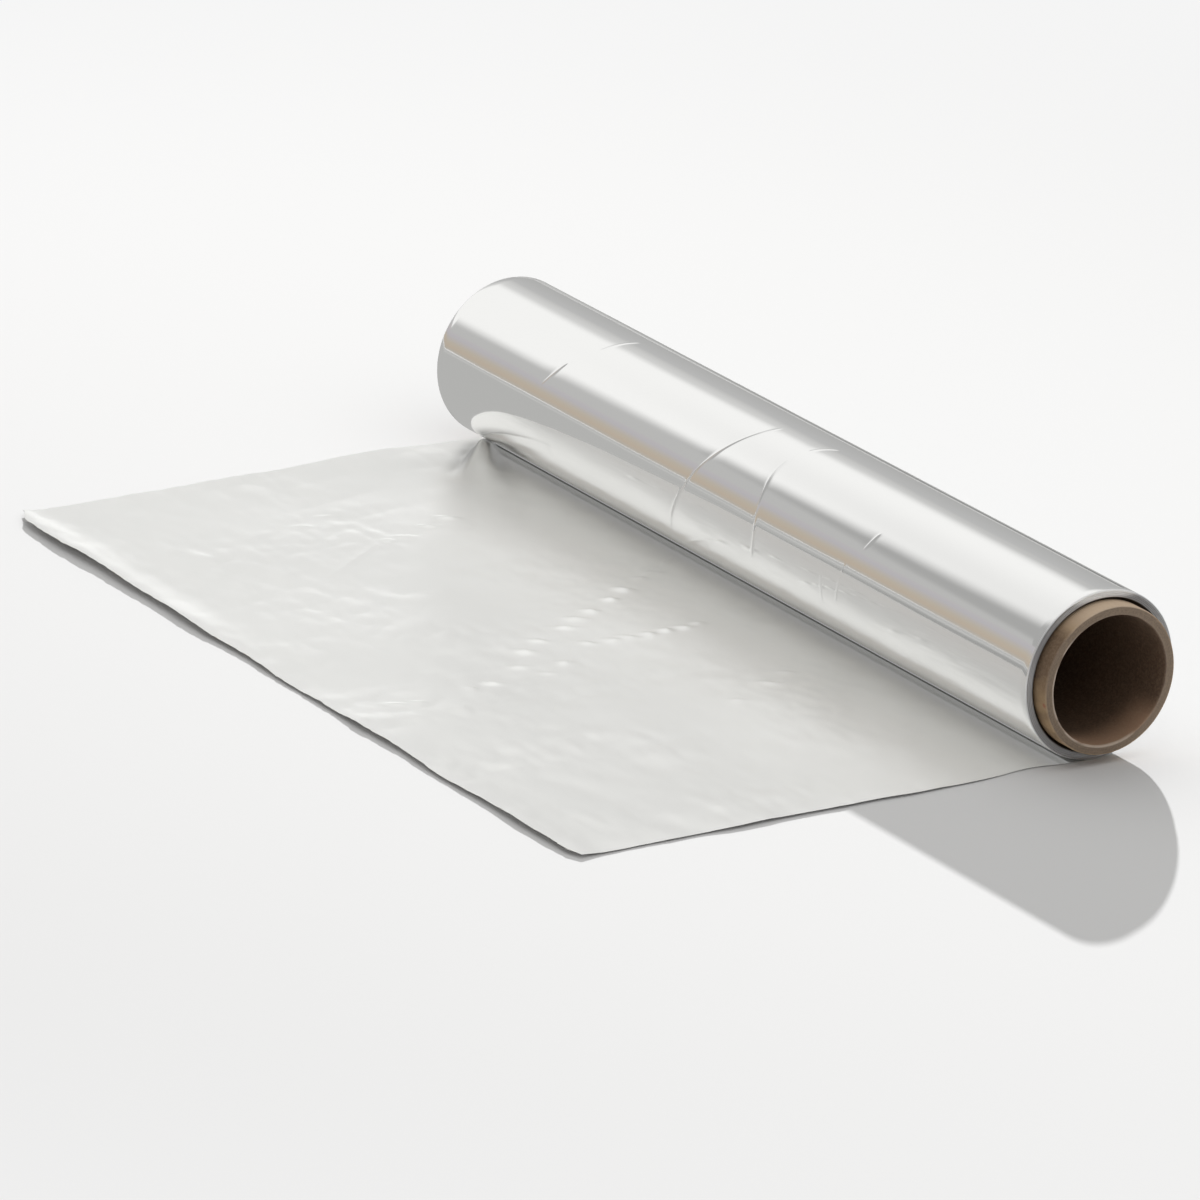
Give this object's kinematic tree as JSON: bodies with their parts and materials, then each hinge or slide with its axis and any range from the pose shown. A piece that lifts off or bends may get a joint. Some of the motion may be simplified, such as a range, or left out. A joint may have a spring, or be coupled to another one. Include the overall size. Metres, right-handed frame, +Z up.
{
  "type": "aluminium foil roll",
  "caption": "Roll of plain aluminium foil on a cardboard tube, lying on its side with a length of foil drawn out flat to a torn edge.",
  "frame": {"origin": "on the axis of the tube's bore, halfway along the width of the foil", "axes": "+X along the roll towards the end where the tube stands out most, foil drawn out towards -Y, +Z up"},
  "size_m": [0.308, 0.1912, 0.0486],
  "materials": {
    "cardboard": "matt brown paperboard",
    "foil": "bright outer side, matt inner side"
  },
  "bodies": {
    "root": {"cardboard_core": "cardboard", "foil": "foil"}
  },
  "joints": []
}
